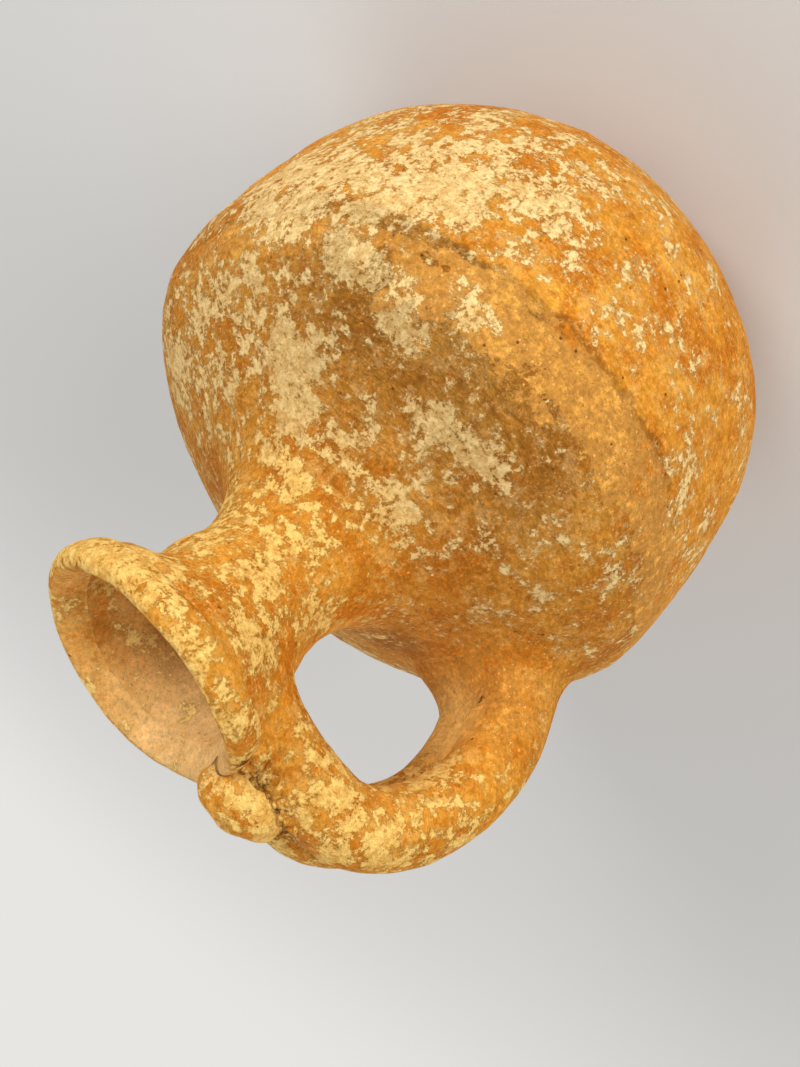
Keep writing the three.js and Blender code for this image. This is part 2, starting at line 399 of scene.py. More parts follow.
cream_patches = [
    ((32, -24, 95), 9, 0.13), ((27, -20, 98), 9, 0.17), ((21, -17, 101), 7, 0.15),
    ((21, -43, 90), 7.5, 0.2), ((26, -45, 87), 6, 0.16), ((33, -41, 87), 6, 0.18),
    ((38, -38, 86), 5, 0.14), ((5, -40, 95), 7, 0.16), ((-3, -42, 93.5), 7, 0.18),
    ((-9, -42, 93), 6, 0.16), ((-1, -33, 98), 6, 0.15), ((17, -52, 84), 6, 0.17),
    ((14, -53, 85), 4, 0.15), ((49, -30, 83), 10, 0.13), ((-2, -25, 103), 7, 0.12),
    ((42, -16, 92), 12, 0.08), ((10, 34, 92), 12, 0.16), ((-30, 34, 90), 9, 0.16),
    ((46, 18, 88), 9, 0.14),
]
bare_places = [
    ((-4, -58, 83), 24, -0.09), ((-24, -60, 40), 50, -0.04), ((-48, 0, 95), 26, -0.09),
    ((-22, -30, 96), 26, -0.02), ((-4, 0, 138), 20, -0.04),
]


def wandering(place, span, detail, reach):
    """The same place, led astray by noise so that borders drawn on it come out ragged."""
    inputs = {"Vector": place, "Scale": 1 / span, "Detail": detail, "Roughness": 0.67}
    astray = lay(place.id_data, "ShaderNodeTexNoise", inputs).outputs["Color"]
    astray = scaled(vectors("SUBTRACT", astray, (0.5, 0.5, 0.5)), reach)
    return vectors("ADD", place, astray)


ragged = wandering(part_in["Place"], 4.4, 5, 16)
fine_ragged = wandering(part_in["Place"], 1.6, 3, 5)
x_place, y_place, level = taken_apart(part_in["Place"])
ragged_level = taken_apart(ragged)[2]
coarse_edge = cloud(part_in["Place"], 7, 6, 0.68)
dome_foot = (75.6, 77)
dome_top = (114, 98)
on_dome = times(above(level, *dome_foot), above(ragged_level, *dome_top))


def all_near(place, places, start):
    """The masks round several centres, added up from a start."""
    total = start
    for centre, reach, amount in places:
        total = plus(total, near(place, centre, reach, amount))
    return total


brown_everywhere = 0.36
brown = sums("MINIMUM", all_near(ragged, brown_places, brown_everywhere), 1)
brown = times(brown, on_dome)
# The smooth pale band inside the ridge: its slope, how ragged it is, and for each edge
# the two levels between which it begins or ends
band_slope = -0.12
upper_ragged, lower_ragged, side_ragged = 26, 9, 24
band_top, band_foot = (98.9, 98.3), (78.4, 79)
band_end, band_near_side = (40.6, 39.8), (-10, -30)
thin_band_top, thin_band_foot = (94.5, 93.5, 0.7), (80.5, 81.1)
# Where the painted shadow line under the band's lower edge begins and ends
shade_line_top, shade_line_foot, shade_line_side = (79.2, 78.4), (76.9, 78.1), (-44, -54, 0.35)
band_level = share_plus(x_place, band_slope, level)
upper_edge = share_plus(coarse_edge, upper_ragged, band_level)
lower_edge = share_plus(coarse_edge, lower_ragged, band_level)
side_edge = share_plus(coarse_edge, side_ragged, x_place)
peach = times(above(upper_edge, *band_top), above(lower_edge, *band_foot))
peach = times(peach, above(side_edge, *band_end))
peach = times(peach, above(y_place, *band_near_side))
all_round = times(above(lower_edge, *thin_band_foot), above(upper_edge, *thin_band_top))
# A painted shadow line along the band's lower edge, beside the ridge
shade_line = times(above(lower_edge, *shade_line_foot), above(lower_edge, *shade_line_top))
shade_line = times(shade_line, above(y_place, *shade_line_side))
peach = larger(peach, all_round)
peach = larger(peach, near(ragged, root_smear_centre, 26, 0.7))
brown = times(brown, rest_of(peach))
bright = sums("MINIMUM", all_near(ragged, bright_places, 0), 1)
bright = times(bright, rest_of(peach))
# The funnel's inside is told from its outside by how far it lies from the neck's axis,
# after the lean and the dip of the mouth are taken off again
rise = all_over(level, height_of("root") * 1000, lip_height * 1000, 0, 1)
rise = times(rise, rise)
slant = share_plus(y_place, -mouth_roll, times(x_place, -mouth_dip))
mouth_level = share_plus(slant, rise, level)
leaned_by = all_over(mouth_level, 134.5, 150, 0, 2.9)
off_axis = sums("SUBTRACT", x_place, leaned_by)
off_axis = vectors("LENGTH", put_together(off_axis, y_place))
mid_wall = all_over(mouth_level, 128.6, 151, 13.3, 23.5)
inside = above(sums("SUBTRACT", mid_wall, off_axis), -0.5, 0.6)
throat = (114, 120)
sandy = times(inside, above(level, *throat))
crevice_shade = shade_line
for centre, reach, depth in crevice_shades:
    crevice_shade = larger(crevice_shade, near(fine_ragged, centre, reach, depth))
# Shade is painted in the seam round the pellet, which is an egg with one end blunter
pellet_length = 0.0190
pellet_width = 0.0130
pellet_place = (-0.0247, -0.0027, 0.1519)
pellet_tilt = math.radians(20)
pellet_blunt = 0.16
seam_shade_width = (1.11, 1.05, 0.65)
egg_size = [size / 2 * 1000 for size in (pellet_length, pellet_width, pellet_width)]
egg_place = {0: part_in["Place"], "Location": [value * 1000 for value in pellet_place]}
egg_place.update({"Rotation": (0, -pellet_tilt, 0), "Scale": egg_size})
egg_place = lay(jug_regions, "ShaderNodeMapping", egg_place, vector_type="TEXTURE").outputs[0]
along_egg = taken_apart(egg_place)[0]
blunt_end = sums("DIVIDE", 1, share_plus(along_egg, -pellet_blunt, 1))
egg_place = vectors("MULTIPLY", egg_place, put_together(1, blunt_end, blunt_end))
from_egg = vectors("LENGTH", egg_place)
seam_shade = above(from_egg, *seam_shade_width)
# Less lime holds on the smooth band and in the funnel
cover = times(peach, -0.10)
cover = share_plus(sandy, -0.05, cover)
cover = all_near(part_in["Place"], limy_places + bare_places, cover)
cover = all_near(ragged, cream_patches, cover)
chalky = larger(above(ragged_level, 112, 96), times(sandy, 0.25))
regions = (brown, peach, bright, sandy, crevice_shade, cover, chalky, seam_shade)
for name, value in zip(region_names, regions):
    jug_regions.links.new(value, part_out.inputs[name])

# Fired clay: broad fire tones, fine mottling, wiping lines, sand grains and pits, with painted
# shade in creases, in seams and beside the neck, and a painted pale patch of light inside the
# handle's root
clay_feeds = ("Brown", "Peach", "Bright", "Sandy", "CreviceShade", "Roughened", "Wiped")
fired_clay, clay_in, clay_out = new_group(
    "fired_clay", {"Place": "v", **{name: "f" for name in clay_feeds}},
    {"Color": "c", "Height": "f", "Grain": "f"},
)
tone = cloud(clay_in["Place"], 14, 4, 0.62)
mottle = cloud(clay_in["Place"], 2.6, 7, 0.76)
grain = cloud(clay_in["Place"], 1.2, 7, 0.86)
flat = vectors("MULTIPLY", clay_in["Place"], (1, 1, 0))
out_from_axis = vectors("LENGTH", flat)
height_up = taken_apart(clay_in["Place"])[2]
around = scaled(vectors("NORMALIZE", flat), 15)
up_the_wall = put_together(z=sums("SUBTRACT", height_up, out_from_axis))
round_place = vectors("ADD", around, up_the_wall)
wiping = cloud(round_place, 0.7, 3, 0.72, 0.8)

clay_colour = over(clay_in["Brown"], paint(222, 146, 42), paint(195, 133, 49))
clay_colour = over(clay_in["Peach"], clay_colour, paint(201, 139, 60))
clay_colour = over(clay_in["Bright"], clay_colour, paint(244, 172, 62))
clay_colour = over(clay_in["Sandy"], clay_colour, paint(230, 163, 76))
deep_value = share_plus(mottle, 0.9, tone)
deep_value = share_plus(clay_in["Peach"], -0.14, deep_value)
deep_mask = above(deep_value, 0.90, 1.05)
deep_colour = over(clay_in["Brown"], paint(200, 116, 20), paint(174, 111, 34))
deep_colour = over(clay_in["Sandy"], deep_colour, paint(196, 130, 46))
clay_colour = over(deep_mask, clay_colour, deep_colour)
pale_value = share_plus(tone, -0.5, mottle)
pale_mask = above(pale_value, 0.25, 0.42, 0.8)
pale_colour = over(clay_in["Brown"], paint(236, 172, 74), paint(206, 152, 80))
pale_colour = over(clay_in["Sandy"], pale_colour, paint(234, 182, 104))
clay_colour = over(pale_mask, clay_colour, pale_colour)
rust_value = cloud(clay_in["Place"], 3.6, 7, 0.72)
rust_value = share_plus(clay_in["Peach"], -0.08, rust_value)
rust_colour = over(clay_in["Brown"], paint(206, 124, 28), paint(176, 108, 36))
clay_colour = over(above(rust_value, 0.545, 0.575, 0.75), clay_colour, rust_colour)
tan_value = cloud(clay_in["Place"], 5.4, 8, 0.72)
tan_colour = over(clay_in["Brown"], paint(236, 174, 84), paint(212, 160, 94))
tan_mask = share_plus(clay_in["Peach"], -0.03, tan_value)
clay_colour = over(above(tan_mask, 0.555, 0.58, 0.6), clay_colour, tan_colour)
sand = lay(fired_clay, "ShaderNodeTexVoronoi", {"Vector": clay_in["Place"], "Scale": 0.95})
sand_near = above(sand.outputs["Distance"], 0.3, 0.12)
sand_pick = lay(fired_clay, "ShaderNodeSeparateColor", {"Color": sand.outputs["Color"]})
sand_mask = times(sand_near, above(sand_pick.outputs[0], 0.7, 0.8, 0.75))
clay_colour = over(sand_mask, clay_colour, paint(244, 194, 114))
pits = lay(fired_clay, "ShaderNodeTexVoronoi", {"Vector": clay_in["Place"], "Scale": 0.33})
pit_near = above(pits.outputs["Distance"], 0.13, 0.05)
pit_pick = lay(fired_clay, "ShaderNodeSeparateColor", {"Color": pits.outputs["Color"]})
pit_mask = times(pit_near, above(pit_pick.outputs[1], 0.7, 0.78, 0.85))
clay_colour = over(pit_mask, clay_colour, paint(104, 58, 20))
pores = lay(fired_clay, "ShaderNodeTexVoronoi", {"Vector": clay_in["Place"], "Scale": 0.85})
pore_near = above(pores.outputs["Distance"], 0.17, 0.08, 0.7)
pore_mask = times(pore_near, larger(clay_in["Peach"], clay_in["Sandy"]))
clay_colour = over(pore_mask, clay_colour, paint(150, 92, 34))
washed = near(clay_in["Place"], (-16, 6, 146), 34, 0.8)
washed = times(washed, clay_in["Sandy"])
clay_colour = over(washed, clay_colour, paint(246, 202, 134))
# Painted light: the inside of the handle's root is painted paler where the lamps leave it in shade
painted_light_patch = near(clay_in["Place"], (-49, 4, 107), 15, 0.85)
clay_colour = over(painted_light_patch, clay_colour, paint(250, 200, 112))
# Painted shade on the shoulder under the handle, beside the neck
painted_shade_nook = near(clay_in["Place"], (-27, 8, 102), 13, 0.5)
clay_colour = over(painted_shade_nook, clay_colour, paint(128, 78, 24))
# Painted shade: the creases and the seam round the pellet are painted dark brown
clay_colour = over(clay_in["CreviceShade"], clay_colour, paint(74, 40, 14))
grain_shade = all_over(grain, 0.3, 0.7, 0.5, 1.5)
shade = times(grain_shade, all_over(mottle, 0.25, 0.75, 0.8, 1.2))
wiped_tone = all_over(wiping, 0.3, 0.7, -0.45, 0.45)
wiped = times(clay_in["Wiped"], all_over(clay_in["Peach"], 0, 1, 1, 0.55))
wiped = times(wiped, all_over(clay_in["Sandy"], 0, 1, 1, 0.3))
shade = times(shade, share_plus(wiped_tone, wiped, 1.0))
clay_colour = over(1.0, clay_colour, shade, "MULTIPLY")
clay_height = times(grain, clay_in["Roughened"])
clay_height = share_plus(mottle, 0.25, clay_height)
clay_height = share_plus(times(wiping, wiped), 0.6, clay_height)
clay_height = share_plus(sand_mask, 0.06, clay_height)
clay_height = share_plus(pit_mask, -0.35, clay_height)
clay_height = share_plus(pore_mask, -0.12, clay_height)
clay_height = share_plus(clay_in["CreviceShade"], -0.8, clay_height)
clay_results = {"Grain": grain_shade, "Color": clay_colour, "Height": clay_height}
for name, value in clay_results.items():
    fired_clay.links.new(value, clay_out.inputs[name])

# Lime from the ground: raised flakes with ragged map-like edges, fine flecks of it
# everywhere, and a thin film between the flakes
lime_crust, lime_in, lime_out = new_group(
    "lime_crust", {"Place": "v", "Cover": "f", "Broad": "f"},
    {"Crust": "f", "Film": "f", "Tint": "f", "Height": "f"},
)
islands = cloud(lime_in["Place"], 9, 9, 0.70)
flakes = cloud(lime_in["Place"], 2.4, 8, 0.76)
broken = share_plus(flakes, 0.9, times(islands, 0.8))
lobes = cloud(lime_in["Place"], 5, 8, 0.66)
solid = share_plus(flakes, 0.3, times(lobes, 1.4))
lime_value = lay(lime_crust, "ShaderNodeMix", {0: lime_in["Broad"], 2: broken, 3: solid}).outputs[0]
lime_value = plus(lime_value, lime_in["Cover"])
crust = above(lime_value, 0.905, 0.925)
holes = cloud(lime_in["Place"], 0.7, 2, 0.65)
crust = times(crust, above(holes, 0.33, 0.40))
fleck_value = share_plus(lime_in["Cover"], 0.5, flakes)
flecks = above(fleck_value, 0.61, 0.635, 0.85)
crust = larger(crust, flecks)
film = above(lime_value, 0.80, 0.93)
film = times(film, above(flakes, 0.38, 0.62))
crust_height = times(crust, 0.10)
lime_results = {"Crust": crust, "Film": film, "Tint": flakes, "Height": crust_height}
for name, value in lime_results.items():
    lime_crust.links.new(value, lime_out.inputs[name])


def clay_material(name, roughened=0.2, wiped=0.35, extra_lime=0.0, broad=0.0, funnel=0, seam_shade=1):
    """The jug's fired clay with its lime, the same across every join."""
    material = bpy.data.materials.new(name)
    material.use_nodes = True
    tree = material.node_tree
    shader = tree.nodes["Principled BSDF"]
    place = tree.nodes.new("ShaderNodeTexCoord").outputs["Object"]
    place = scaled(place, 1000)
    parts = lay(tree, "ShaderNodeGroup", {"Place": place}, node_tree=jug_regions).outputs
    base = lay(tree, "ShaderNodeGroup", node_tree=fired_clay)
    tree.links.new(place, base.inputs["Place"])
    sandy = times(parts["Sandy"], funnel)
    crevice_shade = larger(parts["CreviceShade"], times(parts["Seam"], seam_shade))
    feeds = {"Brown": parts["Brown"], "Peach": parts["Peach"], "Bright": parts["Bright"]}
    feeds.update({"Sandy": sandy, "CreviceShade": crevice_shade})
    feeds["Roughened"] = share_plus(parts["Brown"], 0.4, roughened)
    feeds["Wiped"] = share_plus(parts["Brown"], 0.5, wiped)
    for socket, value in feeds.items():
        tree.links.new(value, base.inputs[socket])
    lime = lay(tree, "ShaderNodeGroup", node_tree=lime_crust)
    tree.links.new(place, lime.inputs["Place"])
    lime.inputs["Broad"].default_value = broad
    outside = rest_of(sandy)
    tree.links.new(share_plus(outside, extra_lime, parts["Cover"]), lime.inputs["Cover"])
    film = times(lime.outputs["Film"], 0.55)
    film_colour = over(parts["Chalky"], paint(234, 172, 80), paint(228, 174, 98))
    colour = over(film, base.outputs["Color"], film_colour)
    thick = above(lime.outputs["Tint"], 0.42, 0.62)
    golden_lime = over(thick, paint(230, 172, 82), paint(248, 206, 116))
    chalky_lime = over(thick, paint(228, 182, 110), paint(248, 214, 146))
    lime_colour = over(parts["Chalky"], golden_lime, chalky_lime)
    fine = all_over(base.outputs["Grain"], 0.5, 1.5, 0.72, 1.28)
    lime_colour = over(1.0, lime_colour, fine, "MULTIPLY")
    crust = times(lime.outputs["Crust"], rest_of(crevice_shade))
    colour = over(crust, colour, lime_colour)
    height = plus(base.outputs["Height"], lime.outputs["Height"])
    bump = lay(tree, "ShaderNodeBump", {"Height": height, "Distance": 0.001, "Strength": 1})
    tree.links.new(colour, shader.inputs["Base Color"])
    tree.links.new(bump.outputs[0], shader.inputs["Normal"])
    roughness = all_over(base.outputs["Grain"], 0.5, 1.5, 0.80, 0.92)
    roughness = share_plus(lime.outputs["Crust"], 0.08, roughness)
    tree.links.new(roughness, shader.inputs["Roughness"])
    shader.inputs["Specular IOR Level"].default_value = 0.12
    return material


body_clay = clay_material("body_clay")
floor_rim = [point for point in inner_line[: ridge_point + 1] if point.y > floor_thickness]
section = [Vector((radius, 0)) for radius in (0, 0.012, 0.022)] + wall_line[: ridge_point + 1]
section += floor_rim[::-inner_skip]
floor_radii = (floor_rim[0].x - body_wall, 0.018, 0)
section += [Vector((radius, floor_thickness)) for radius in floor_radii]
bowl = turned(section, body_turns, closed=False)
shape_by_hand(bowl)
made_piece("lower_body_clay", bowl, body_clay, "body_clay", "lower_body")

# SHOULDER
# The dome from the ridge to the neck's foot, one slab of the same clay closed over
# the bowl and wiped with wet fingers. It is browner and rougher than the bowl, with
# cream lime patches and a smoother, paler band just inside the ridge.
shoulder_clay = clay_material("shoulder_clay")
inner_dome = inner_line[ridge_point: root_point + 1]
section = wall_line[ridge_point: root_point + 1]
section += [inner_dome[-1], *inner_dome[-2:0:-inner_skip], inner_dome[0]]
dome = turned(section, body_turns)
shape_by_hand(dome)
made_piece("shoulder_wall", dome, shoulder_clay, "shoulder_clay", "shoulder")

# NECK
# The narrow neck, drawn up from the shoulder's opening and flared to the mouth, with
# the funnel inside it. It leans a little from the handle, and lime lies thick on it.
neck_turns = 200
neck_clay = clay_material("neck_clay", funnel=1)
section = wall_line[root_point:] + inner_line[:root_point - 1:-1]
funnel = turned(section, neck_turns)
shape_by_hand(funnel)
made_piece("neck_wall", funnel, neck_clay, "neck_clay", "neck")

# RIM BAND
# The mouth's edge, rolled over and pressed down as a rounded band with a groove under
# it. Its lip is worn smooth, with only faint wiping marks, and lime lies broadly on it.
band_points = [
    wall_line[-1], (0.0252, 0.1459), (0.0261, 0.1478), (0.0262, 0.1497), (0.0253, 0.1513),
    (0.0238, 0.1520), (0.0224, 0.1513), (0.0212, 0.1494), inner_line[-1],
]
rim_clay = clay_material("rim_clay", wiped=0.12, extra_lime=0.08, broad=0.4, funnel=1)
band_step = 0.0007
band_line = drawn_curve(band_points, band_step)
band = turned(band_line, neck_turns)
shape_by_hand(band)
rim_roll = made_piece("rim_band_roll", band, rim_clay, "neck_clay", "rim_band")

# HANDLE COILS
# Two finger-thick coils of clay, laid side by side and bent together from the rim to
# the shoulder. They touch along one flat, and a valley shows between them.
coil_radius = 0.0077
coil_offset = 0.0070
coil_sides = 56
coil_steps = 120
coil_sunk = 0.0010
# The far coil lies lower near the rim and comes level with the near one lower down
far_coil_lower = 0.0016
far_coil_level_at = 75
far_coil_eases = 30
vessel_turns = 120
coil_points = [
    (-0.0100, 0.1410), (-0.0397, 0.1427), (-0.0495, 0.1341),
    (-0.0552, 0.1208), (-0.0555, 0.1040), (-0.0480, 0.0840),
]

# The vessel's outside alone, before finger marks, for fitting clay against it
vessel_section = [Vector((0, 0)), *wall_line, *band_line[1:]]
vessel_skin = turned(vessel_section, vessel_turns, closed=False)
shape_by_hand(vessel_skin)
vessel_tree = BVHTree.FromBMesh(vessel_skin)
vessel_skin.free()


def evenly(points, count):
    """The same path in even steps."""
    lengths = [0.0]
    for start, end in zip(points, points[1:]):
        lengths.append(lengths[-1] + (end - start).length)
    even, place = [], 0
    for step in range(count + 1):
        goal = lengths[-1] * step / count
        while place < len(points) - 2 and lengths[place + 1] < goal:
            place += 1
        share = (goal - lengths[place]) / (lengths[place + 1] - lengths[place])
        even.append(points[place].lerp(points[place + 1], share))
    return even


def bent_line(points):
    """The handle's bend, turning tightest where its points lie close."""
    points = [Vector((x, 0, z)) for x, z in points]
    ends = [points[0] * 2 - points[1], *points, points[-1] * 2 - points[-2]]
    line = []
    for before, start, end, after in zip(ends, ends[1:], ends[2:], ends[3:]):
        pulls = [(b - a).length ** 0.5 for a, b in ((before, start), (start, end), (end, after))]
        leaving = (start - before) / pulls[0] - (end - before) / (pulls[0] + pulls[1])
        leaving = (leaving + (end - start) / pulls[1]) * pulls[1]
        arriving = (end - start) / pulls[1] - (after - start) / (pulls[1] + pulls[2])
        arriving = (arriving + (after - end) / pulls[2]) * pulls[1]
        line += interpolate_bezier(start, start + leaving / 3, end - arriving / 3, end, 60)[:-1]
    return evenly([*line, points[-1]], coil_steps)


handle_line = bent_line(coil_points)


def beside_handle(step, width, height):
    """A point beside the handle's line: width along Y and height outwards."""
    before, after = handle_line[max(0, step - 1)], handle_line[min(coil_steps, step + 1)]
    along = (after - before).normalized()
    fade = clamped((far_coil_level_at - step) / far_coil_eases)
    height -= far_coil_lower * fade * fade * (3 - 2 * fade) * clamped(width / coil_offset)
    return handle_line[step] + Vector((0, width, 0)) + Vector((along.z, 0, -along.x)) * height


def to_the_vessel(path):
    """The part of a path that is outside the vessel, then where and how it meets it."""
    for place, (start, end) in enumerate(zip(path, path[1:])):
        reach = end - start
        hit, normal, _, _ = vessel_tree.ray_cast(start, reach.normalized(), reach.length)
        if hit:
            return path[: place + 1], hit, normal
    return path, path[-1], (path[-1] - path[-2]).normalized()


def fitted_path(width, height):
    """A line on a coil's skin, from just inside the rim's wall to the shoulder's."""
    path = [beside_handle(step, width, height) for step in range(coil_steps + 1)]
    middle = coil_steps // 2
    up, rim_end, _ = to_the_vessel(path[middle::-1])
    down, root_end, _ = to_the_vessel(path[middle:])
    rim_end = rim_end + (rim_end - up[-1]).normalized() * coil_sunk
    root_end = root_end + (root_end - down[-1]).normalized() * coil_sunk
    return evenly([rim_end, *up[:0:-1], *down, root_end], coil_steps)


def grown_skin(rings):
    """A closed skin: one circle, extruded from ring to ring and set in place."""
    bm = bmesh.new()
    ring = bmesh.ops.create_circle(bm, segments=len(rings[0]), radius=coil_radius)["verts"]
    edges = list(bm.edges)
    for vert, place in zip(ring, rings[0]):
        vert.co = place
    first = edges
    for places in rings[1:]:
        grown = bmesh.ops.extrude_edge_only(bm, edges=edges)["geom"]
        ring = [part for part in grown if isinstance(part, bmesh.types.BMVert)]
        edges = [part for part in grown if isinstance(part, bmesh.types.BMEdge)]
        for vert, place in zip(ring, places):
            vert.co = place
    return bm, first, edges


def bent_coil(side):
    """One coil of the pair: near at side -1 and far at side 1."""
    paths = []
    for turn in range(coil_sides):
        angle = math.tau * turn / coil_sides
        width = side * max(0, coil_offset + coil_radius * math.cos(angle))
        paths.append(fitted_path(width, coil_radius * math.sin(angle)))
    bm, first, last = grown_skin(list(zip(*paths)))
    for end in (first, last):
        bmesh.ops.contextual_create(bm, geom=end)
    bmesh.ops.recalc_face_normals(bm, faces=bm.faces)
    return bm


handle_clay = clay_material("handle_clay", broad=0.6)
near_roll = made_piece(
    "handle_coil_near_roll", bent_coil(-1), handle_clay, "handle_clay", "handle_coil_near"
)
far_roll = made_piece(
    "handle_coil_far_roll", bent_coil(1), handle_clay, "handle_clay", "handle_coil_far"
)

# LUTING AT BOTH ENDS OF THE HANDLE
# Soft clay smeared round the two coils where they meet the neck and the shoulder. It
# fills the valley, spreads onto the vessel as a smooth fillet and thins out to nothing.
luting_sides = 112
luting_steps = 16
luting_lift = 0.0004
luting_feather = 0.00012
luting_depth = 0.0014
# How soon the valley is full, where it begins, how wide it is and how flat the pair's
# outline is once it is full
fill_by = 1.4
valley_from = 0.62
valley_width = 0.6
oval_flatness = 0.96


def both_coils(angle, filled):
    """Width and height of the pair's outline, with its valley filled by a share."""
    across, rise = abs(math.cos(angle)), abs(math.sin(angle))
    room = coil_radius ** 2 - (coil_offset * rise) ** 2
    reach = coil_offset * across + math.sqrt(max(0, room))
    flat = coil_radius / max(rise, 1e-6)
    smooth = min(reach, flat) if across > valley_from else reach
    span = coil_offset + coil_radius
    oval = 1 / math.sqrt((across / span) ** 2 + (rise / (coil_radius * oval_flatness)) ** 2)
    reach = smooth + (max(oval, smooth) - smooth) * filled
    return reach * math.cos(angle), reach * math.sin(angle)


def point_between(path, step, share):
    return path[step].lerp(path[step + 1], share) if step + 1 < len(path) else path[step]


def smeared_collar(at_root, climb, spread, filled, fillet):
    """Clay round both coils: it fills the valley little by little, then flares out.

    Climb says how far it goes up the coils: beside them, less above, more in the valley.
    Spread says how far it goes over the vessel: beside them, less above.
    """
    middle = coil_steps // 2
    steps = range(middle, coil_steps + 1) if at_root else range(middle, -1, -1)
    profiles = []
    for turn in range(luting_sides):
        angle = math.tau * turn / luting_sides
        height, across = math.sin(angle), abs(math.cos(angle))
        bare = [beside_handle(step, *both_coils(angle, 0)) for step in steps]
        packed = [beside_handle(step, *both_coils(angle, filled)) for step in steps]
        outside, corner, normal = to_the_vessel(packed)
        count = len(outside)
        axis = handle_line[steps[min(count, middle)]]
        in_valley = max(0, 1 - across / valley_width)
        length = climb[0] - climb[1] * height + climb[2] * in_valley
        way = []
        for mark in range(2 * luting_steps + 1):
            back = length * (1 - mark / (2 * luting_steps))
            place = (outside[-1] - corner).length
            step = count - 1
            while place < back and step > 0:
                place += (packed[step] - packed[step - 1]).length
                step -= 1
            fill = min(1, mark / (fill_by * luting_steps))
            fill = fill ** 2 * (3 - 2 * fill)
            share = 0
            if step < count - 1:
                share = (place - back) / (packed[step + 1] - packed[step]).length
            low = point_between(bare, step, share)
            way.append(low.lerp(point_between(packed, step, share), fill))
        outward = corner - axis
        outward = (outward - normal * outward.dot(normal)).normalized()
        foot = corner + outward * (spread[0] - spread[1] * height)
        foot, foot_normal, _, _ = vessel_tree.find_nearest(foot)
        along = (corner - way[luting_steps]).normalized()
        skin = corner - axis
        skin = (skin - along * skin.dot(along)).normalized()
        # The fillet is fuller inside the loop, on the far side
        fuller = fillet * max(0, -height) * max(0, math.cos(angle)) * 2
        lifted = corner + (normal + skin) * (luting_lift + fuller)
        start = way[luting_steps]
        profile = way[:luting_steps]
        for part in range(luting_steps + 1):
            share = part / luting_steps
            bend = start * (1 - share) ** 2 + lifted * 2 * share * (1 - share)
            profile.append(bend + foot * share ** 2)
        profile[0] = profile[0] - skin * luting_feather * 2
        profile[-1] = profile[-1] - foot_normal * luting_feather * 2
        buried_corner = corner - normal * luting_depth - skin * luting_depth
        profile += [foot - foot_normal * luting_depth, buried_corner]
        profile.append(way[0] - skin * luting_depth)
        profiles.append(profile)
    bm, first, last = grown_skin(list(zip(*profiles)))
    bmesh.ops.bridge_loops(bm, edges=first + last)
    bmesh.ops.recalc_face_normals(bm, faces=bm.faces)
    return bm


luting_clay = clay_material("luting_clay", broad=0.6)
root_collar = smeared_collar(
    at_root=True, climb=(0.0165, 0.008, 0.004), spread=(0.0095, 0.006), filled=0.9, fillet=0.0030
)
made_piece("root_luting_smear", root_collar, luting_clay, "luting_clay", "root_luting")
neck_collar = smeared_collar(
    at_root=False, climb=(0.0080, 0.003, 0.002), spread=(0.0030, 0.0022), filled=0.6, fillet=0
)
neck_smear = made_piece(
    "neck_luting_smear", neck_collar, luting_clay, "luting_clay", "neck_luting"
)

# PELLET AND ITS LUTING
# An egg-shaped button of clay, pressed down over the place where the coils meet the
# rim. Crumbs of the wet clay that holds it were squeezed out round its foot.
egg_fineness = 6
nest_spread = 0.0007
nest_sunk = 0.0008
nest_edge = Vector((0.15, 0, 1))
nest_mouthward = 0.0025
nest_edge_softness = 0.0012
nest_tucked_in = 0.2


def egg(growth):
    """The pellet's shape, grown all round by a little."""
    bm = bmesh.new()
    bmesh.ops.create_icosphere(bm, subdivisions=egg_fineness, radius=1)
    for vert in bm.verts:
        blunt = 1 - pellet_blunt * vert.co.x
        vert.co = Vector((vert.co.x, vert.co.y * blunt, vert.co.z * blunt))
    size = Vector((pellet_length, pellet_width, pellet_width)) / 2
    bmesh.ops.scale(bm, vec=size + Vector((growth, growth, growth)), verts=bm.verts)
    tilt = Matrix.Rotation(-pellet_tilt, 3, "Y")
    bmesh.ops.rotate(bm, cent=(0, 0, 0), matrix=tilt, verts=bm.verts)
    return bm


def knead(bm, span, depth):
    """Rough lumps of one size, out of and into the skin."""
    bm.normal_update()
    for vert in bm.verts:
        vert.co += vert.normal * noise.noise(vert.co / span) * depth


pellet_clay = clay_material("pellet_clay", extra_lime=0.05, broad=1.0, seam_shade=0)
button = egg(0)
knead(button, 0.006, 0.0008)
bmesh.ops.translate(button, verts=button.verts, vec=pellet_place)
made_piece("pellet_button", button, pellet_clay, "pellet_clay", "pellet")

bed_clay = clay_material("bed_clay", roughened=0.3)
seat = bmesh.new()
for under in (rim_roll, near_roll, far_roll, neck_smear):
    seat.from_mesh(under.data)
seat_tree = BVHTree.FromBMesh(seat)
seat.free()
nest = egg(nest_spread)
knead(nest, 0.0022, 0.0012)
knead(nest, 0.0009, 0.0005)
for vert in nest.verts:
    above_edge = max(vert.co.dot(nest_edge.normalized()), vert.co.x - nest_mouthward)
    above_edge += noise.noise(vert.co / 0.003) * 0.0012
    vert.co *= 1 - nest_tucked_in * clamped(above_edge / nest_edge_softness)
nest_place = Vector(pellet_place) + Vector((0, 0, -nest_sunk))
bmesh.ops.translate(nest, verts=nest.verts, vec=nest_place)

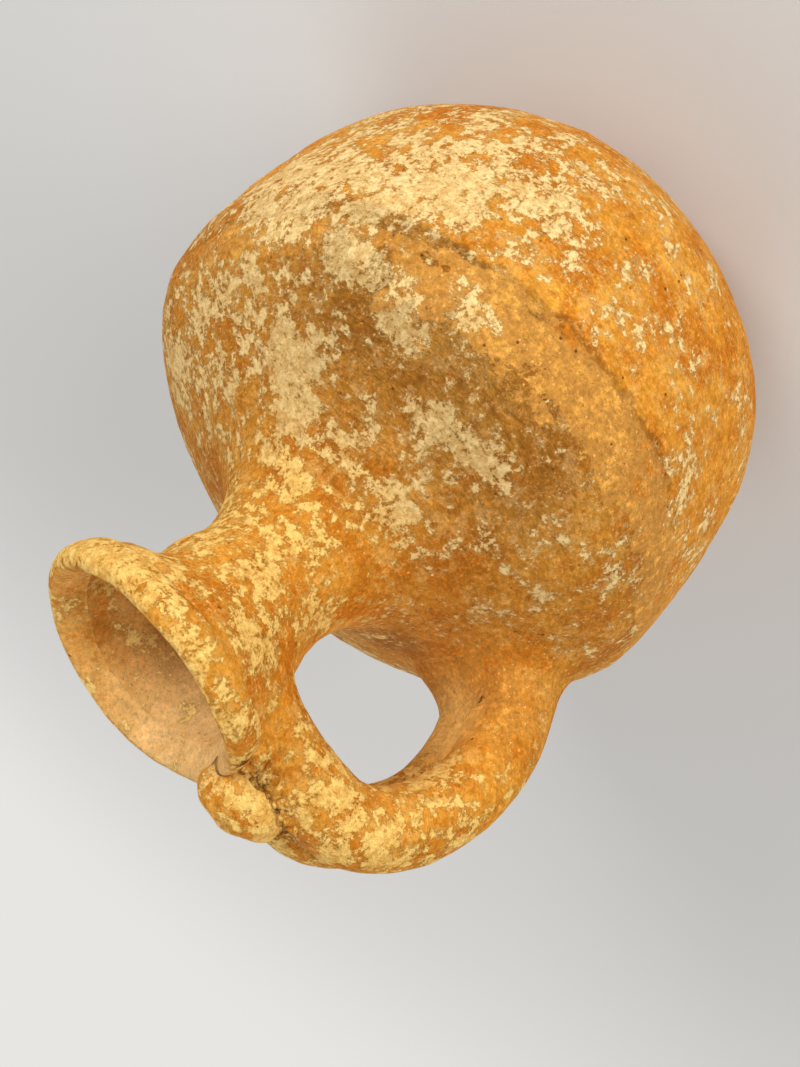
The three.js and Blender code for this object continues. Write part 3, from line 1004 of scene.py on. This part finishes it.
# Crumbs lie in the hollow beside the pellet and all round its foot, but not on the lip
hollow_line = drawn_curve(
    [(-0.0195, -0.0135), (-0.0236, -0.0103), (-0.0290, -0.0106), (-0.0325, -0.0085)], 0.0006
)
hollow_crumbs, hollow_scatter = 60, 0.0034
foot_crumbs, foot_scatter = 50, 0.0013
smallest_crumb, crumb_growth = 0.0005, 0.0007
lip_level, lip_edge = 0.1532, -0.0192
crumb_marks = []
for mark in range(hollow_crumbs + foot_crumbs):
    drawn = [0.5 + 0.5 * noise.cell(Vector((mark, part, 0.5))) for part in range(3)]
    if mark < hollow_crumbs:
        stray = Vector((drawn[0] - 0.5, drawn[1] - 0.5)) * hollow_scatter
        spot = hollow_line[mark * len(hollow_line) // hollow_crumbs] + stray
    else:
        angle = math.tau * (mark - hollow_crumbs + drawn[0]) / foot_crumbs
        lengthways = math.cos(angle) * pellet_length * math.cos(pellet_tilt)
        out = Vector((lengthways, math.sin(angle) * pellet_width)) / 2
        stray = out.normalized() * (drawn[1] - 0.35) * foot_scatter
        spot = Vector(pellet_place[:2]) + out + stray
    crumb_marks.append((spot, smallest_crumb + crumb_growth * drawn[2] ** 2))
for spot, size in crumb_marks:
    hit, _, _, _ = seat_tree.ray_cast(Vector((spot.x, spot.y, 0.17)), Vector((0, 0, -1)))
    if hit and hit.z < lip_level and spot.x < lip_edge:
        crumb_place = Matrix.Translation(hit + Vector((0, 0, size * 0.15)))
        crumb = bmesh.ops.create_icosphere(nest, subdivisions=3, radius=size, matrix=crumb_place)
        for vert in crumb["verts"]:
            vert.co += noise.noise_vector(vert.co / 0.0009) * 0.00035
made_piece("pellet_luting_nest", nest, bed_clay, "luting_clay", "pellet_luting")

# FLOOR, LAMPS AND CAMERA
# A plain pale floor in soft studio light, and the photograph's camera: it looks down
# at the mouth from close by and is rolled so that the mouth points to the lower left.
stage_material = bpy.data.materials.new("pale_floor")
stage_material.use_nodes = True
stage_tree = stage_material.node_tree
stage_shader = stage_tree.nodes["Principled BSDF"]
stage_shader.inputs["Base Color"].default_value = (0.72, 0.71, 0.69, 1)
stage_shader.inputs["Roughness"].default_value = 0.95


def seen_directly(tree):
    """One for rays that see the background itself, and nothing for those that light by it."""
    rays = lay(tree, "ShaderNodeLightPath").outputs
    seen = larger(rays["Is Camera Ray"], rays["Is Glossy Ray"])
    return larger(seen, rays["Is Transmission Ray"])


# Far from the jug the floor takes the background's own colour, so that no edge shows
pale_background = (0.80, 0.79, 0.77, 1)
floor_place = lay(stage_tree, "ShaderNodeTexCoord").outputs["Object"]
far_off = vectors("LENGTH", floor_place)
far_off = times(above(far_off, 0.2, 0.75), seen_directly(stage_tree))
far_floor = lay(stage_tree, "ShaderNodeEmission", {"Color": pale_background, "Strength": 1})
mixed = {0: far_off, 1: stage_shader.outputs[0], 2: far_floor.outputs[0]}
floor_mix = lay(stage_tree, "ShaderNodeMixShader", mixed)
stage_tree.links.new(floor_mix.outputs[0], stage_tree.nodes["Material Output"].inputs["Surface"])
disc = bmesh.new()
bmesh.ops.create_circle(disc, cap_ends=True, segments=96, radius=4)
floor_mesh = bpy.data.meshes.new("pale_floor")
disc.to_mesh(floor_mesh)
disc.free()
floor_mesh.materials.append(stage_material)
stage_floor = bpy.data.objects.new("pale_floor", floor_mesh)
bpy.context.scene.collection.objects.link(stage_floor)


jug_middle = Vector((0, 0, 0.08))


def soft_lamp(name, direction, distance, size, power):
    """A round white lamp, aimed at the middle of the jug."""
    lamp = bpy.data.lights.new(name, "AREA")
    lamp.shape = "DISK"
    lamp.size = size
    lamp.energy = power
    holder = bpy.data.objects.new(name, lamp)
    holder.location = jug_middle + Vector(direction).normalized() * distance
    holder.rotation_euler = (holder.location - jug_middle).to_track_quat("Z", "Y").to_euler()
    bpy.context.scene.collection.objects.link(holder)


soft_lamp("key_lamp", (0.85, -0.42, 0.38), 0.9, 0.45, 4.4)
soft_lamp("front_lamp", (-0.25, -1, 0.28), 1.0, 0.6, 5.6)
soft_lamp("top_lamp", (-0.2, 0.4, 1), 1.2, 0.8, 1.6)
soft_lamp("back_lamp", (-0.75, 0.8, 0.45), 1.1, 0.6, 3.0)

world = bpy.data.worlds.new("soft_room")
bpy.context.scene.world = world
world.use_nodes = True
room = world.node_tree
room_light = room.nodes["Background"]
room_light.inputs["Color"].default_value = (1, 1, 1, 1)
room_light.inputs["Strength"].default_value = 0.34
seen_room = lay(room, "ShaderNodeBackground", {"Color": pale_background, "Strength": 1})
mixed = {0: seen_directly(room), 1: room_light.outputs[0], 2: seen_room.outputs[0]}
room_mix = lay(room, "ShaderNodeMixShader", mixed)
room.links.new(room_mix.outputs[0], room.nodes["World Output"].inputs["Surface"])

camera = bpy.data.objects.new("camera", bpy.data.cameras.new("camera"))
camera.data.lens = 38.8
camera.data.clip_start = 0.01
camera_right = Vector((-0.6241, -0.5375, -0.5672))
camera_up = Vector((0.7675, -0.2853, -0.5741))
camera_back = Vector((0.1468, -0.7935, 0.5905))
turn = Matrix((camera_right, camera_up, camera_back)).transposed().to_4x4()
camera.matrix_world = Matrix.Translation((0.0235, -0.1912, 0.2291)) @ turn
bpy.context.scene.collection.objects.link(camera)
bpy.context.scene.camera = camera
bpy.context.scene.view_settings.view_transform = "Standard"
